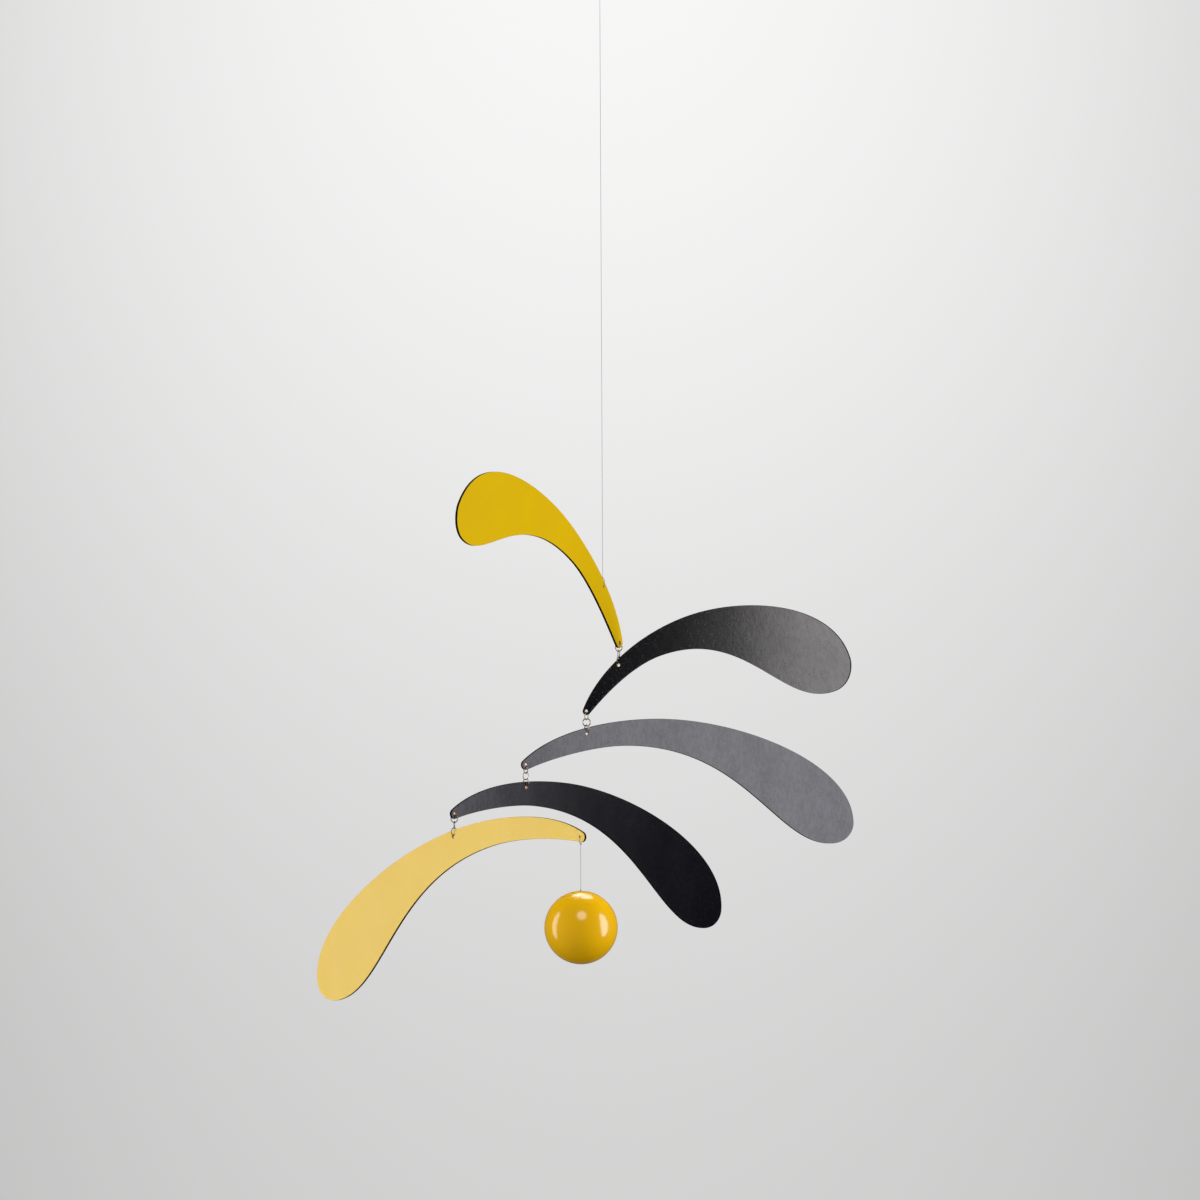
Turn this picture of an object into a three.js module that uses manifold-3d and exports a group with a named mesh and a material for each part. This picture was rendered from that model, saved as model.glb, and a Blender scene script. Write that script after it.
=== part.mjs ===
// A hanging mobile: five flat leaf-shaped blades, each hung from the tip of the one above by three wire
// rings, with a light ball on a thread under the last tip. All sizes are in millimetres, +Z is up, +X is to
// the right of the view and +Y runs away from the viewer. The origin is where the thread's top loop hangs.
import * as THREE from "three";
import { mergeVertices } from "three/addons/utils/BufferGeometryUtils.js";
import Module from "manifold-3d";

const wasm = await Module();
wasm.setup();

// Finishes
const YELLOW = new THREE.MeshStandardMaterial({ color: 0xdbb200, roughness: 0.35, metalness: 0 });
const BLACK = new THREE.MeshStandardMaterial({ color: 0x1c1c1f, roughness: 0.3, metalness: 0 });
const BALL_YELLOW = new THREE.MeshStandardMaterial({ color: 0xd29a02, roughness: 0.2, metalness: 0 });
const WIRE = new THREE.MeshStandardMaterial({ color: 0xb9b4a8, roughness: 0.25, metalness: 1 });
const THREAD = new THREE.MeshStandardMaterial({ color: 0xc8c8c8, roughness: 0.4, metalness: 0 });

// Blades
const upperLength = 255.5;
const secondLength = 243.2;
const longLength = 327.8;
const upperTipRadius = 4.4;
const secondTipRadius = 3.2;
const longTipRadius = 4.2;
const bladeThickness = 2.2;
const ringHoleRadius = 1.6;
const threadHoleRadius = 0.75;
const lastHoleInset = 1.4;

// How far along each blade it hangs, and how far in from the edge
const firstHangAt = 44.05;
const secondHangAt = 39.2;
const thirdHangAt = 58.7;
const fourthHangAt = 80.3;
const fifthHangAt = 141.5;
const firstHangEdge = 3.45;
const secondHangEdge = 4;
const thirdHangEdge = 4.6;
const fourthHangEdge = 4.5;
const fifthHangEdge = 5;

// Rings
const ringWire = 0.8;
const ringOuter = 7.15;
const linkGap = 0.2;
const ringPlaces = ["top", "middle", "bottom"];
const ringSides = 8;
const ringSteps = 20;

// Threads
const threadDiameter = 0.4;
const threadSides = 8;
const threadSteps = 30;
const ballThreadSteps = 15;
const threadSpacing = 0.35;
const knotRadius = 0.55;
const knotStretch = 1.5;
const knotClearance = 1.8;
const knotSides = 8;
const knotRows = 6;

// What hangs where
const hangingLength = 505;
const hangingLoopLength = 11;
const hangingLoopWidth = 5;
const hangingLoopTaper = 0.8;
const ballRadius = 29.6;
const ballDrop = 44;
const ballHoleRadius = 0.9;
const ballHoleDepth = 4;
const ballSides = 32;
const ballRows = 20;

// Steps along the curves
const curveSteps = 14;
const fineCurveSteps = 56;
const holeSteps = 20;
const tipSteps = 10;
const tieSteps = 18;
const searchSteps = 40;

// A blade's outline lies in its own plane: x runs from the round tip's middle to the nose and y is up. The
// curve turns at four places, the crown of the back, the nose, the keel under the head and the top of the
// belly. Each has its place and the reach of the curve before and after it, all as shares of the outline's
// length. The back and the belly leave the round tip at their own angles, with a reach of their own.
const upperOutline = {
  length: upperLength,
  tipRadius: upperTipRadius,
  back: { angle: 44.1, reach: 0.167 },
  crown: { x: 0.508, y: 0.173, before: 0.147, after: 0.179 },
  nose: { x: 1, y: -0.116, before: 0.229, after: 0.029 },
  keel: { x: 0.922, y: -0.202, before: 0.054, after: 0.146 },
  belly: { x: 0.365, y: 0.076, before: 0.36, after: 0.137 },
  underside: { angle: 15.5, reach: 0.03 },
};
const secondOutline = {
  length: secondLength,
  tipRadius: secondTipRadius,
  back: { angle: 48.7, reach: 0.146 },
  crown: { x: 0.467, y: 0.192, before: 0.193, after: 0.217 },
  nose: { x: 1, y: -0.132, before: 0.207, after: 0.031 },
  keel: { x: 0.909, y: -0.221, before: 0.066, after: 0.198 },
  belly: { x: 0.327, y: 0.0945, before: 0.342, after: 0.137 },
  underside: { angle: 28.3, reach: 0.031 },
};
const longOutline = {
  length: longLength,
  tipRadius: longTipRadius,
  back: { angle: 39.6, reach: 0.101 },
  crown: { x: 0.384, y: 0.11, before: 0.168, after: 0.251 },
  nose: { x: 1, y: -0.175, before: 0.162, after: 0.023 },
  keel: { x: 0.93, y: -0.227, before: 0.048, after: 0.171 },
  belly: { x: 0.289, y: 0.0422, before: 0.3725, after: 0.1 },
  underside: { angle: 22.4, reach: 0.0525 },
};

// The blades from the top down. hangAt is how far from the tip's middle a blade hangs, measured along x to
// the point of its back over the hanging hole, and hangEdge is from there in to the hole. yaw turns the
// blade about the vertical, tilt lifts its head, both in degrees. ringYaws are those of the rings under it.
const blades = [
  {
    name: "blade_1_yellow", outline: upperOutline, finish: YELLOW, holeInset: 0,
    hangAt: firstHangAt, hangEdge: firstHangEdge, yaw: 236, tilt: 33, ringYaws: [-31, -77, 62],
  },
  {
    name: "blade_2_black", outline: secondOutline, finish: BLACK, holeInset: 0,
    hangAt: secondHangAt, hangEdge: secondHangEdge, yaw: -26, tilt: 18, ringYaws: [64, 4, -58],
  },
  {
    name: "blade_3_black", outline: longOutline, finish: BLACK, holeInset: 0,
    hangAt: thirdHangAt, hangEdge: thirdHangEdge, yaw: 31.5, tilt: 0.2, ringYaws: [-58, 45, -45],
  },
  {
    name: "blade_4_black", outline: longOutline, finish: BLACK, holeInset: 0,
    hangAt: fourthHangAt, hangEdge: fourthHangEdge, yaw: 45.65, tilt: -6.15, ringYaws: [-30, 86, 43],
  },
  {
    name: "blade_5_yellow", outline: longOutline, finish: YELLOW, holeInset: lastHoleInset,
    hangAt: fifthHangAt, hangEdge: fifthHangEdge, yaw: 136.8, tilt: -13.4, ringYaws: [],
  },
];

const radians = THREE.MathUtils.degToRad;
const threadRadius = threadDiameter / 2;
const ringCentre = (ringOuter - ringWire) / 2;
const ringInner = ringCentre - ringWire / 2;
// A ring hangs on the two corners of the hole's edge, so its centre is a little nearer than its inner radius.
const holeToRing = ringHoleRadius + Math.sqrt(ringInner ** 2 - (bladeThickness / 2) ** 2) - linkGap;
const ringToRing = 2 * ringInner - linkGap;
const chainDrop = 2 * holeToRing + (ringPlaces.length - 1) * ringToRing;

// The curves of one blade's outline in millimetres, in order: back, head top, nose, head underside, belly.
function outlineCurves(outline) {
  const { length, tipRadius, back, crown, nose, keel, belly, underside } = outline;
  const at = (x, y) => new THREE.Vector2(x * length, y * length);
  const backAngle = radians(back.angle);
  const underAngle = radians(underside.angle);
  const backDirection = new THREE.Vector2(Math.cos(backAngle), Math.sin(backAngle));
  const underDirection = new THREE.Vector2(Math.cos(underAngle), Math.sin(underAngle));
  const backStart = new THREE.Vector2(-backDirection.y, backDirection.x).multiplyScalar(tipRadius);
  const underEnd = new THREE.Vector2(underDirection.y, -underDirection.x).multiplyScalar(tipRadius);
  const backHandle = backStart.clone().addScaledVector(backDirection, back.reach * length);
  const underHandle = underEnd.clone().addScaledVector(underDirection, underside.reach * length);
  const beforeCrown = at(crown.x - crown.before, crown.y);
  const afterCrown = at(crown.x + crown.after, crown.y);
  const overNose = at(nose.x, nose.y + nose.before);
  const underNose = at(nose.x, nose.y - nose.after);
  const beforeKeel = at(keel.x + keel.before, keel.y);
  const afterKeel = at(keel.x - keel.after, keel.y);
  const beforeBelly = at(belly.x + belly.before, belly.y);
  const afterBelly = at(belly.x - belly.after, belly.y);
  return [
    new THREE.CubicBezierCurve(backStart, backHandle, beforeCrown, at(crown.x, crown.y)),
    new THREE.CubicBezierCurve(at(crown.x, crown.y), afterCrown, overNose, at(nose.x, nose.y)),
    new THREE.CubicBezierCurve(at(nose.x, nose.y), underNose, beforeKeel, at(keel.x, keel.y)),
    new THREE.CubicBezierCurve(at(keel.x, keel.y), afterKeel, beforeBelly, at(belly.x, belly.y)),
    new THREE.CubicBezierCurve(at(belly.x, belly.y), afterBelly, underHandle, underEnd),
  ];
}

// The hole that the blade hangs by: the point of the back at hangAt, moved in square to the edge.
function hangingHole(blade) {
  const [back, headTop] = outlineCurves(blade.outline);
  const curve = blade.hangAt < back.v3.x ? back : headTop;
  let low = 0;
  let high = 1;
  for (let halving = 0; halving < searchSteps; halving += 1) {
    const middle = (low + high) / 2;
    if (curve.getPoint(middle).x < blade.hangAt) low = middle;
    else high = middle;
  }
  const along = curve.getTangent(low);
  const inward = new THREE.Vector2(along.y, -along.x);
  return curve.getPoint(low).addScaledVector(inward, blade.hangEdge);
}

// The hole in the blade's tip, on the tip's middle line and in from the middle of its rounding by holeInset.
function tipHole({ outline, holeInset }) {
  const middleLine = radians((outline.back.angle + outline.underside.angle) / 2);
  return new THREE.Vector2(Math.cos(middleLine), Math.sin(middleLine)).multiplyScalar(holeInset);
}

// A round hole as a path, its corners on a circle around the point.
function holePath(centre, radius) {
  const corners = Array.from({ length: holeSteps }, (unused, step) => {
    const angle = (2 * Math.PI * step) / holeSteps;
    return new THREE.Vector2(centre.x + radius * Math.cos(angle), centre.y + radius * Math.sin(angle));
  });
  return new THREE.Path(corners);
}

// A blade as a flat plate in the XZ plane, the middle of its tip's rounding at the origin.
function bladeGeometry(blade, hangRadius, tipHoleRadius) {
  const points = outlineCurves(blade.outline).flatMap((curve) => curve.getPoints(curveSteps).slice(0, -1));
  const tipFrom = radians(blade.outline.underside.angle - 90);
  const tipTo = radians(blade.outline.back.angle + 90 - 360);
  for (let step = 0; step < tipSteps; step += 1) {
    const angle = tipFrom + ((tipTo - tipFrom) * step) / tipSteps;
    points.push(new THREE.Vector2(Math.cos(angle), Math.sin(angle)).multiplyScalar(blade.outline.tipRadius));
  }
  const shape = new THREE.Shape(points);
  shape.holes.push(holePath(hangingHole(blade), hangRadius), holePath(tipHole(blade), tipHoleRadius));
  const cut = { depth: bladeThickness, bevelEnabled: false, curveSegments: 1 };
  const plate = new THREE.ExtrudeGeometry(shape, cut);
  plate.translate(0, 0, -bladeThickness / 2);
  plate.rotateX(Math.PI / 2);
  return plate;
}

// A point of the blade's plane, as it stands when its hanging hole is at the origin.
function standing(point, blade) {
  const hole = hangingHole(blade);
  return new THREE.Vector3(point.x - hole.x, 0, point.y - hole.y)
    .applyAxisAngle(new THREE.Vector3(0, 1, 0), -radians(blade.tilt))
    .applyAxisAngle(new THREE.Vector3(0, 0, 1), radians(blade.yaw));
}

// How far the blade's edge is from a hole as the blade hangs, straight up for a side of 1 and down for -1.
function edgeDistance(hole, blade, side) {
  const upright = new THREE.Vector2(0, side).rotateAround(new THREE.Vector2(), -radians(blade.tilt));
  const offsets = outlineCurves(blade.outline).flatMap((curve) => curve.getPoints(fineCurveSteps))
    .map((point) => point.clone().sub(hole));
  const distances = [];
  offsets.slice(1).forEach((offset, index) => {
    const before = offsets[index];
    const share = before.cross(upright) / (before.cross(upright) - offset.cross(upright));
    const distance = before.clone().lerp(offset, share).dot(upright);
    if (share >= 0 && share <= 1 && distance > 0) distances.push(distance);
  });
  return Math.min(...distances);
}

// A closed geometry as a solid that can be joined or cut.
function solidOf(geometry) {
  const bare = geometry.clone();
  bare.deleteAttribute("normal");
  bare.deleteAttribute("uv");
  const merged = mergeVertices(bare);
  return new wasm.Manifold(
    new wasm.Mesh({
      numProp: 3,
      vertProperties: merged.getAttribute("position").array,
      triVerts: new Uint32Array(merged.index.array),
    }),
  );
}

// The solid back as a geometry.
function geometryOf(solid) {
  const mesh = solid.getMesh();
  const geometry = new THREE.BufferGeometry();
  geometry.setAttribute("position", new THREE.BufferAttribute(mesh.vertProperties, 3));
  geometry.setIndex(new THREE.BufferAttribute(mesh.triVerts, 1));
  geometry.computeVertexNormals();
  return geometry;
}

// A round thread along a curve.
function threadAlong(curve, steps) {
  const section = new THREE.Shape(
    Array.from({ length: threadSides }, (unused, side) => {
      const angle = (2 * Math.PI * side) / threadSides;
      return new THREE.Vector2(threadRadius * Math.cos(angle), threadRadius * Math.sin(angle));
    }),
  );
  return new THREE.ExtrudeGeometry(section, { steps, extrudePath: curve });
}

// A straight upright thread between two heights.
function uprightThread(low, high, steps) {
  const line = new THREE.LineCurve3(new THREE.Vector3(0, 0, low), new THREE.Vector3(0, 0, high));
  return threadAlong(line, steps);
}

// A knot, a little longer than wide.
function knotAt(height) {
  const knot = new THREE.SphereGeometry(knotRadius, knotSides, knotRows);
  knot.rotateX(Math.PI / 2);
  knot.scale(1, 1, knotStretch);
  knot.translate(0, 0, height);
  return knot;
}

// A thread tied through a hole at the origin and around the plate's edge: down from the knot along one face,
// through the hole and back along the other. The knot is at a height over the hole, or under it if negative.
function tieThrough(knotHeight) {
  const side = Math.sign(knotHeight);
  const clear = bladeThickness / 2 + threadRadius + threadSpacing;
  const inHole = side * (threadHoleRadius - threadRadius - threadSpacing);
  const half = [
    new THREE.Vector3(0, 0, inHole),
    new THREE.Vector3(0, clear - threadSpacing, inHole + side * threadRadius),
    new THREE.Vector3(0, clear, side * (threadHoleRadius + threadSpacing)),
    new THREE.Vector3(0, clear, knotHeight - side * knotClearance),
    new THREE.Vector3(0, threadRadius / 2, knotHeight),
  ];
  const other = half.slice(1).map((point) => new THREE.Vector3(point.x, -point.y, point.z));
  const path = [...other.reverse(), ...half];
  return threadAlong(new THREE.CatmullRomCurve3(path, false, "centripetal"), tieSteps);
}

// A named mesh.
function meshOf(name, geometry, finish) {
  const mesh = new THREE.Mesh(geometry, finish);
  mesh.name = name;
  return mesh;
}

// One wire ring standing in the XZ plane.
function ringMesh(name) {
  const ring = new THREE.TorusGeometry(ringCentre, ringWire / 2, ringSides, ringSteps);
  ring.rotateX(Math.PI / 2);
  return meshOf(name, ring, WIRE);
}

// The three rings under a tip hole at the group's origin, each turned by its own yaw.
function ringChain(number, yaws) {
  const chain = new THREE.Group();
  yaws.forEach((yaw, index) => {
    const ring = ringMesh(`ring_${number}_${ringPlaces[index]}`);
    ring.position.z = -(holeToRing + index * ringToRing);
    ring.rotation.z = radians(yaw);
    chain.add(ring);
  });
  return chain;
}

// The loop at the top of the thread, with its knot, and the hanging point at the origin.
function hangingLoop() {
  const half = hangingLoopWidth / 2;
  const knotHeight = -hangingLoopLength;
  const right = [
    new THREE.Vector3(0, 0, threadRadius),
    new THREE.Vector3(half, 0, -half),
    new THREE.Vector3(half * hangingLoopTaper, 0, knotHeight / 2),
    new THREE.Vector3(threadRadius / 2, 0, knotHeight),
  ];
  const left = right.slice(1).map((point) => new THREE.Vector3(-point.x, point.y, point.z));
  const path = [...left.reverse(), ...right];
  const loop = threadAlong(new THREE.CatmullRomCurve3(path, false, "centripetal"), tieSteps);
  return meshOf("hanging_loop", geometryOf(solidOf(loop).add(solidOf(knotAt(knotHeight)))), THREAD);
}

// The long thread, from under the loop's knot down to the first blade, where it is knotted and tied.
function suspensionThread(blade) {
  const knotHeight = edgeDistance(hangingHole(blade), blade, 1) + knotClearance;
  const top = hangingLength - hangingLoopLength - knotRadius * knotStretch - threadSpacing;
  const solid = solidOf(uprightThread(knotHeight, top, threadSteps))
    .add(solidOf(knotAt(knotHeight)))
    .add(solidOf(tieThrough(knotHeight)));
  return meshOf("suspension_thread", geometryOf(solid), THREAD);
}

// The short thread from the last tip, tied through its hole, down into the ball, with a knot in the mouth of
// the ball's own hole.
function ballThread(blade) {
  const tieHeight = -(edgeDistance(tipHole(blade), blade, -1) + knotClearance);
  const bottom = -(ballDrop + ballHoleDepth / 2);
  const solid = solidOf(uprightThread(bottom, tieHeight, ballThreadSteps))
    .add(solidOf(knotAt(tieHeight)))
    .add(solidOf(tieThrough(tieHeight)))
    .add(solidOf(knotAt(-ballDrop)));
  return meshOf("ball_thread", geometryOf(solid), THREAD);
}

// The ball, with the small hole in its top that the thread goes into.
function ballMesh() {
  const ball = new THREE.SphereGeometry(ballRadius, ballSides, ballRows);
  ball.rotateX(Math.PI / 2);
  const drill = new THREE.CylinderGeometry(ballHoleRadius, ballHoleRadius, ballHoleDepth * 2, holeSteps);
  drill.rotateX(Math.PI / 2);
  drill.translate(0, 0, ballRadius);
  return meshOf("ball", geometryOf(solidOf(ball).subtract(solidOf(drill))), BALL_YELLOW);
}

const mobile = new THREE.Group();
mobile.add(hangingLoop());

let hangPoint = new THREE.Vector3(0, 0, -hangingLength);
blades.forEach((blade, index) => {
  const last = index === blades.length - 1;
  const hangRadius = index === 0 ? threadHoleRadius : ringHoleRadius;
  const tipHoleRadius = last ? threadHoleRadius : ringHoleRadius;
  const hole = hangingHole(blade);
  const plate = meshOf(blade.name, bladeGeometry(blade, hangRadius, tipHoleRadius), blade.finish);
  plate.position.set(-hole.x, 0, -hole.y);
  const tilted = new THREE.Group();
  tilted.rotation.y = -radians(blade.tilt);
  tilted.add(plate);
  const turned = new THREE.Group();
  turned.rotation.z = radians(blade.yaw);
  turned.position.copy(hangPoint);
  turned.add(tilted);
  if (index === 0) turned.add(suspensionThread(blade));
  mobile.add(turned);

  const tip = hangPoint.clone().add(standing(tipHole(blade), blade));
  if (last) {
    const thread = ballThread(blade);
    thread.rotation.z = radians(blade.yaw);
    thread.position.copy(tip);
    const ball = ballMesh();
    ball.position.set(tip.x, tip.y, tip.z - ballDrop - ballRadius);
    mobile.add(thread, ball);
  } else {
    const chain = ringChain(index + 1, blade.ringYaws);
    chain.position.copy(tip);
    mobile.add(chain);
    hangPoint = tip.clone().add(new THREE.Vector3(0, 0, -chainDrop));
  }
});

export default mobile;
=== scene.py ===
"""The looks of a hanging mobile: lacquered leaf-shaped blades, wire rings, fine threads and a ball.

Everything is in metres in the row frame: +X to the right of the view, +Y away from the viewer, +Z up, and
the origin where the thread's loop hangs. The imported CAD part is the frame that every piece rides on.
"""

import logging
import math
from dataclasses import dataclass, field
from enum import Enum

import bpy
from mathutils import Matrix, Vector
from mathutils.geometry import tessellate_polygon

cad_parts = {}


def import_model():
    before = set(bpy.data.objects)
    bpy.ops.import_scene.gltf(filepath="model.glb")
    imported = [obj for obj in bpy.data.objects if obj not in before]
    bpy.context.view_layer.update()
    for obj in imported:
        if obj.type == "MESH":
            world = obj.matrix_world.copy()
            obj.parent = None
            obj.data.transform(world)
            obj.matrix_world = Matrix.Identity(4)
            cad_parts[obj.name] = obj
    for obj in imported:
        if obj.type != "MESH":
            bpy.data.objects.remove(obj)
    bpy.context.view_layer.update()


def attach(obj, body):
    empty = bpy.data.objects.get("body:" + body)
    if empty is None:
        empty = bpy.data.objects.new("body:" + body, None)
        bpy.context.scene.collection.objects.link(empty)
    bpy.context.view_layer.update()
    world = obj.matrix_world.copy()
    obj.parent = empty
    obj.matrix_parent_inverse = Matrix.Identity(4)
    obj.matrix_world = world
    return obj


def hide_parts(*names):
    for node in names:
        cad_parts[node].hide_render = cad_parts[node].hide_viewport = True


LOG = logging.getLogger("mobile")
RIGHT = Vector((1, 0, 0))
AWAY = Vector((0, 1, 0))
UP = Vector((0, 0, 1))
OWN_PLACE = "own_place"
BOARD_THICKNESS = 0.0022
RING_HOLE_RADIUS = 0.0016
THREAD_HOLE_RADIUS = 0.00075
SEARCH_STEPS = 40
END_DOME = 0.6
NOISE_MEAN = 0.5
BROAD_STEP = (0.3, 0.7)
CLOSE_STEP = (0.35, 0.65)
FACE_SLOT = 0
EDGE_SLOT = 1
HOLE_SLOT = 2


class Body(Enum):
    """The rigid bodies that pieces ride on."""

    LOOP = "hanging_loop"
    FIRST = "first_blade"
    SECOND = "second_blade"
    THIRD = "third_blade"
    FOURTH = "fourth_blade"
    FIFTH = "fifth_blade"


class Slot(Enum):
    """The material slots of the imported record."""

    YELLOW = "yellow_lacquer"
    BLACK = "black_lacquer"
    BALL = "ball_lacquer"
    WIRE = "ring_wire"
    THREAD = "thread"


class Detail(Enum):
    """How many finer layers a noise has."""

    NONE = 0.0
    LITTLE = 1.0
    SOME = 2.0
    MUCH = 3.0


class LightShape(Enum):
    """The shapes of a soft light."""

    ROUND = "ELLIPSE"
    SQUARE = "RECTANGLE"


class Socket:
    """One output of a node, which takes part in sums as a number does."""

    def __init__(self, tree: "Tree", output: bpy.types.NodeSocket) -> None:
        """Keep the tree and the output that the socket stands for."""
        self.tree = tree
        self.output = output

    def maths(self, operation: str, *values: "Socket | float") -> "Socket":
        """Add a Math node.

        Args:
            operation: the Math node's operation.
            values: its inputs in order.

        Returns:
            The node's output.
        """
        return self.tree.node("ShaderNodeMath", {"operation": operation}, dict(enumerate(values)))

    def __add__(self, other: "Socket | float") -> "Socket":
        """Return the sum."""
        return self.maths("ADD", self, other)

    __radd__ = __add__

    def __mul__(self, other: "Socket | float") -> "Socket":
        """Return the product."""
        return self.maths("MULTIPLY", self, other)

    __rmul__ = __mul__

    def __sub__(self, other: "Socket | float") -> "Socket":
        """Return the difference."""
        return self.maths("SUBTRACT", self, other)

    def __rsub__(self, other: "Socket | float") -> "Socket":
        """Return the difference from a number."""
        return self.maths("SUBTRACT", other, self)

    def between(self, low: float, high: float) -> "Socket":
        """Return the value held between two limits."""
        return self.maths("MINIMUM", self.maths("MAXIMUM", self, low), high)

    def rising(self, low: float, high: float) -> "Socket":
        """Return a smooth step from 0 at one value to 1 at another."""
        return self.tree.node(
            "ShaderNodeMapRange",
            {"interpolation_type": "SMOOTHSTEP"},
            {"Value": self, "From Min": low, "From Max": high, "To Min": 0.0, "To Max": 1.0},
        )


class Tree:
    """The nodes of one material or of the world."""

    def __init__(self, owner: "bpy.types.Material | bpy.types.World") -> None:
        """Start with an empty tree.

        Args:
            owner: the material or the world that the tree is for.
        """
        owner.use_nodes = True
        self.owner = owner
        self.nodes = owner.node_tree.nodes
        self.links = owner.node_tree.links
        self.nodes.clear()

    def node(
        self, kind: str, settings: dict[str, object], sockets: dict[object, object], output: object = 0
    ) -> Socket:
        """Add one node.

        Args:
            kind: the node's type.
            settings: its properties.
            sockets: its inputs by name or number, each a value or a link.
            output: the name or number of the output that is returned.

        Returns:
            That output.
        """
        made = self.nodes.new(kind)
        for name, value in settings.items():
            setattr(made, name, value)
        for name, value in sockets.items():
            if isinstance(value, Socket):
                self.links.new(value.output, made.inputs[name])
            else:
                made.inputs[name].default_value = value
        return Socket(self, made.outputs[output]) if made.outputs else Socket(self, None)

    def place(self) -> Socket:
        """Return where a point is in its own piece, as the piece was drawn."""
        return self.node("ShaderNodeAttribute", {"attribute_name": OWN_PLACE}, {}, "Vector")

    def noise(
        self,
        place: Socket,
        size: float,
        detail: Detail = Detail.SOME,
        stretch: tuple[float, float, float] = (1, 1, 1),
    ) -> Socket:
        """Add a noise.

        Args:
            place: the coordinates.
            size: the size of its blots in metres.
            detail: the number of finer layers.
            stretch: how much longer the blots are along each axis.

        Returns:
            The noise, from 0 to 1.
        """
        sizes = tuple(size * part for part in stretch)
        spread = self.node("ShaderNodeVectorMath", {"operation": "DIVIDE"}, {0: place, 1: sizes})
        return self.node("ShaderNodeTexNoise", {}, {"Vector": spread, "Scale": 1.0, "Detail": detail.value})

    def along(self, direction: Socket, axis: str) -> Socket:
        """Return a direction's part along an axis, named X, Y or Z."""
        return self.node("ShaderNodeSeparateXYZ", {}, {"Vector": direction}, axis)

    def blend(self, share: Socket, first: object, second: object) -> Socket:
        """Mix two colours by a share."""
        return self.node(
            "ShaderNodeMix", {"data_type": "RGBA"}, {"Factor": share, "A": first, "B": second}, "Result"
        )

    def bump(self, height: Socket, depth: float, below: "Socket | None" = None) -> Socket:
        """Turn a height into a normal.

        Args:
            height: the height, from 0 to 1.
            depth: how deep that is in metres.
            below: the normal of a coarser relief under this one, if there is one.

        Returns:
            The normal.
        """
        sockets: dict[object, object] = {"Strength": 1.0, "Distance": depth, "Height": height}
        if below is not None:
            sockets["Normal"] = below
        return self.node("ShaderNodeBump", {}, sockets)

    def finish(self, **sockets: object) -> bpy.types.Material:
        """Add the surface shader and the output.

        Args:
            sockets: the shader's inputs, with underscores for spaces.

        Returns:
            The material.
        """
        shader = self.node(
            "ShaderNodeBsdfPrincipled", {}, {name.replace("_", " "): value for name, value in sockets.items()}
        )
        self.node("ShaderNodeOutputMaterial", {}, {"Surface": shader})
        return self.owner


def colour(red: float, green: float, blue: float) -> tuple[float, float, float, float]:
    """Return an opaque colour in linear light."""
    return (red, green, blue, 1.0)


def material_tree(name: str) -> Tree:
    """Start the nodes of a new material."""
    return Tree(bpy.data.materials.new(name))


@dataclass(frozen=True)
class Lacquer:
    """The sprayed satin lacquer on a blade's faces."""

    name: str
    tone: tuple[float, float, float]
    deep_tone: tuple[float, float, float]
    roughness: float = 0.185
    roughness_drift: float = 0.05
    speck_roughness: float = 0.1
    cloud_size: float = 0.045
    peel_size: float = 0.004
    peel_depth: float = 0.00003
    peel_share: float = 0.6
    swell_size: float = 0.03
    swell_depth: float = 0.00005
    speck_size: float = 0.0009
    speck_step: tuple[float, float] = (0.76, 0.84)
    streak_size: float = 0.016
    streak_stretch: tuple[float, float, float] = (1, 1, 2.4)
    streak_share: float = 0.5
    pebble_size: float = 0.0025
    pebble_stretch: tuple[float, float, float] = (1, 1, 1.8)
    sheen: float = 0.26

    def material(self) -> bpy.types.Material:
        """Make the lacquer's material.

        Returns:
            The material, with cloudy tone, mottled sheen, fine orange peel, low swells and dust specks.
        """
        tree = material_tree(self.name)
        place = tree.place()
        cloud = tree.noise(place, self.cloud_size, Detail.MUCH)
        peel = tree.noise(place, self.peel_size, Detail.LITTLE)
        swell = tree.noise(place, self.swell_size, Detail.LITTLE)
        specks = tree.noise(place, self.speck_size, Detail.NONE).rising(*self.speck_step)
        streaks = tree.noise(place, self.streak_size, Detail.MUCH, self.streak_stretch).rising(*BROAD_STEP)
        pebbles = tree.noise(place, self.pebble_size, Detail.LITTLE, self.pebble_stretch)
        mottle = self.streak_share * streaks + (1 - self.streak_share) * pebbles.rising(*CLOSE_STEP)
        low = tree.bump(swell, self.swell_depth)
        fine = tree.bump(self.peel_share * peel + self.peel_share * pebbles + specks, self.peel_depth, low)
        drift = self.roughness_drift * (cloud - NOISE_MEAN)
        return tree.finish(
            Base_Color=tree.blend(cloud.rising(*BROAD_STEP), colour(*self.tone), colour(*self.deep_tone)),
            Roughness=self.roughness + drift + self.speck_roughness * specks,
            Coat_Weight=self.sheen * mottle,
            Coat_Roughness=self.roughness,
            Normal=fine,
        )


YELLOW_LACQUER = Lacquer("yellow_blade_lacquer", tone=(0.93, 0.6, 0.0), deep_tone=(0.91, 0.58, 0.0))
BLACK_LACQUER = Lacquer(
    "black_blade_lacquer", tone=(0.001, 0.001, 0.003), deep_tone=(0.002, 0.002, 0.0045), roughness=0.18
)


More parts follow.
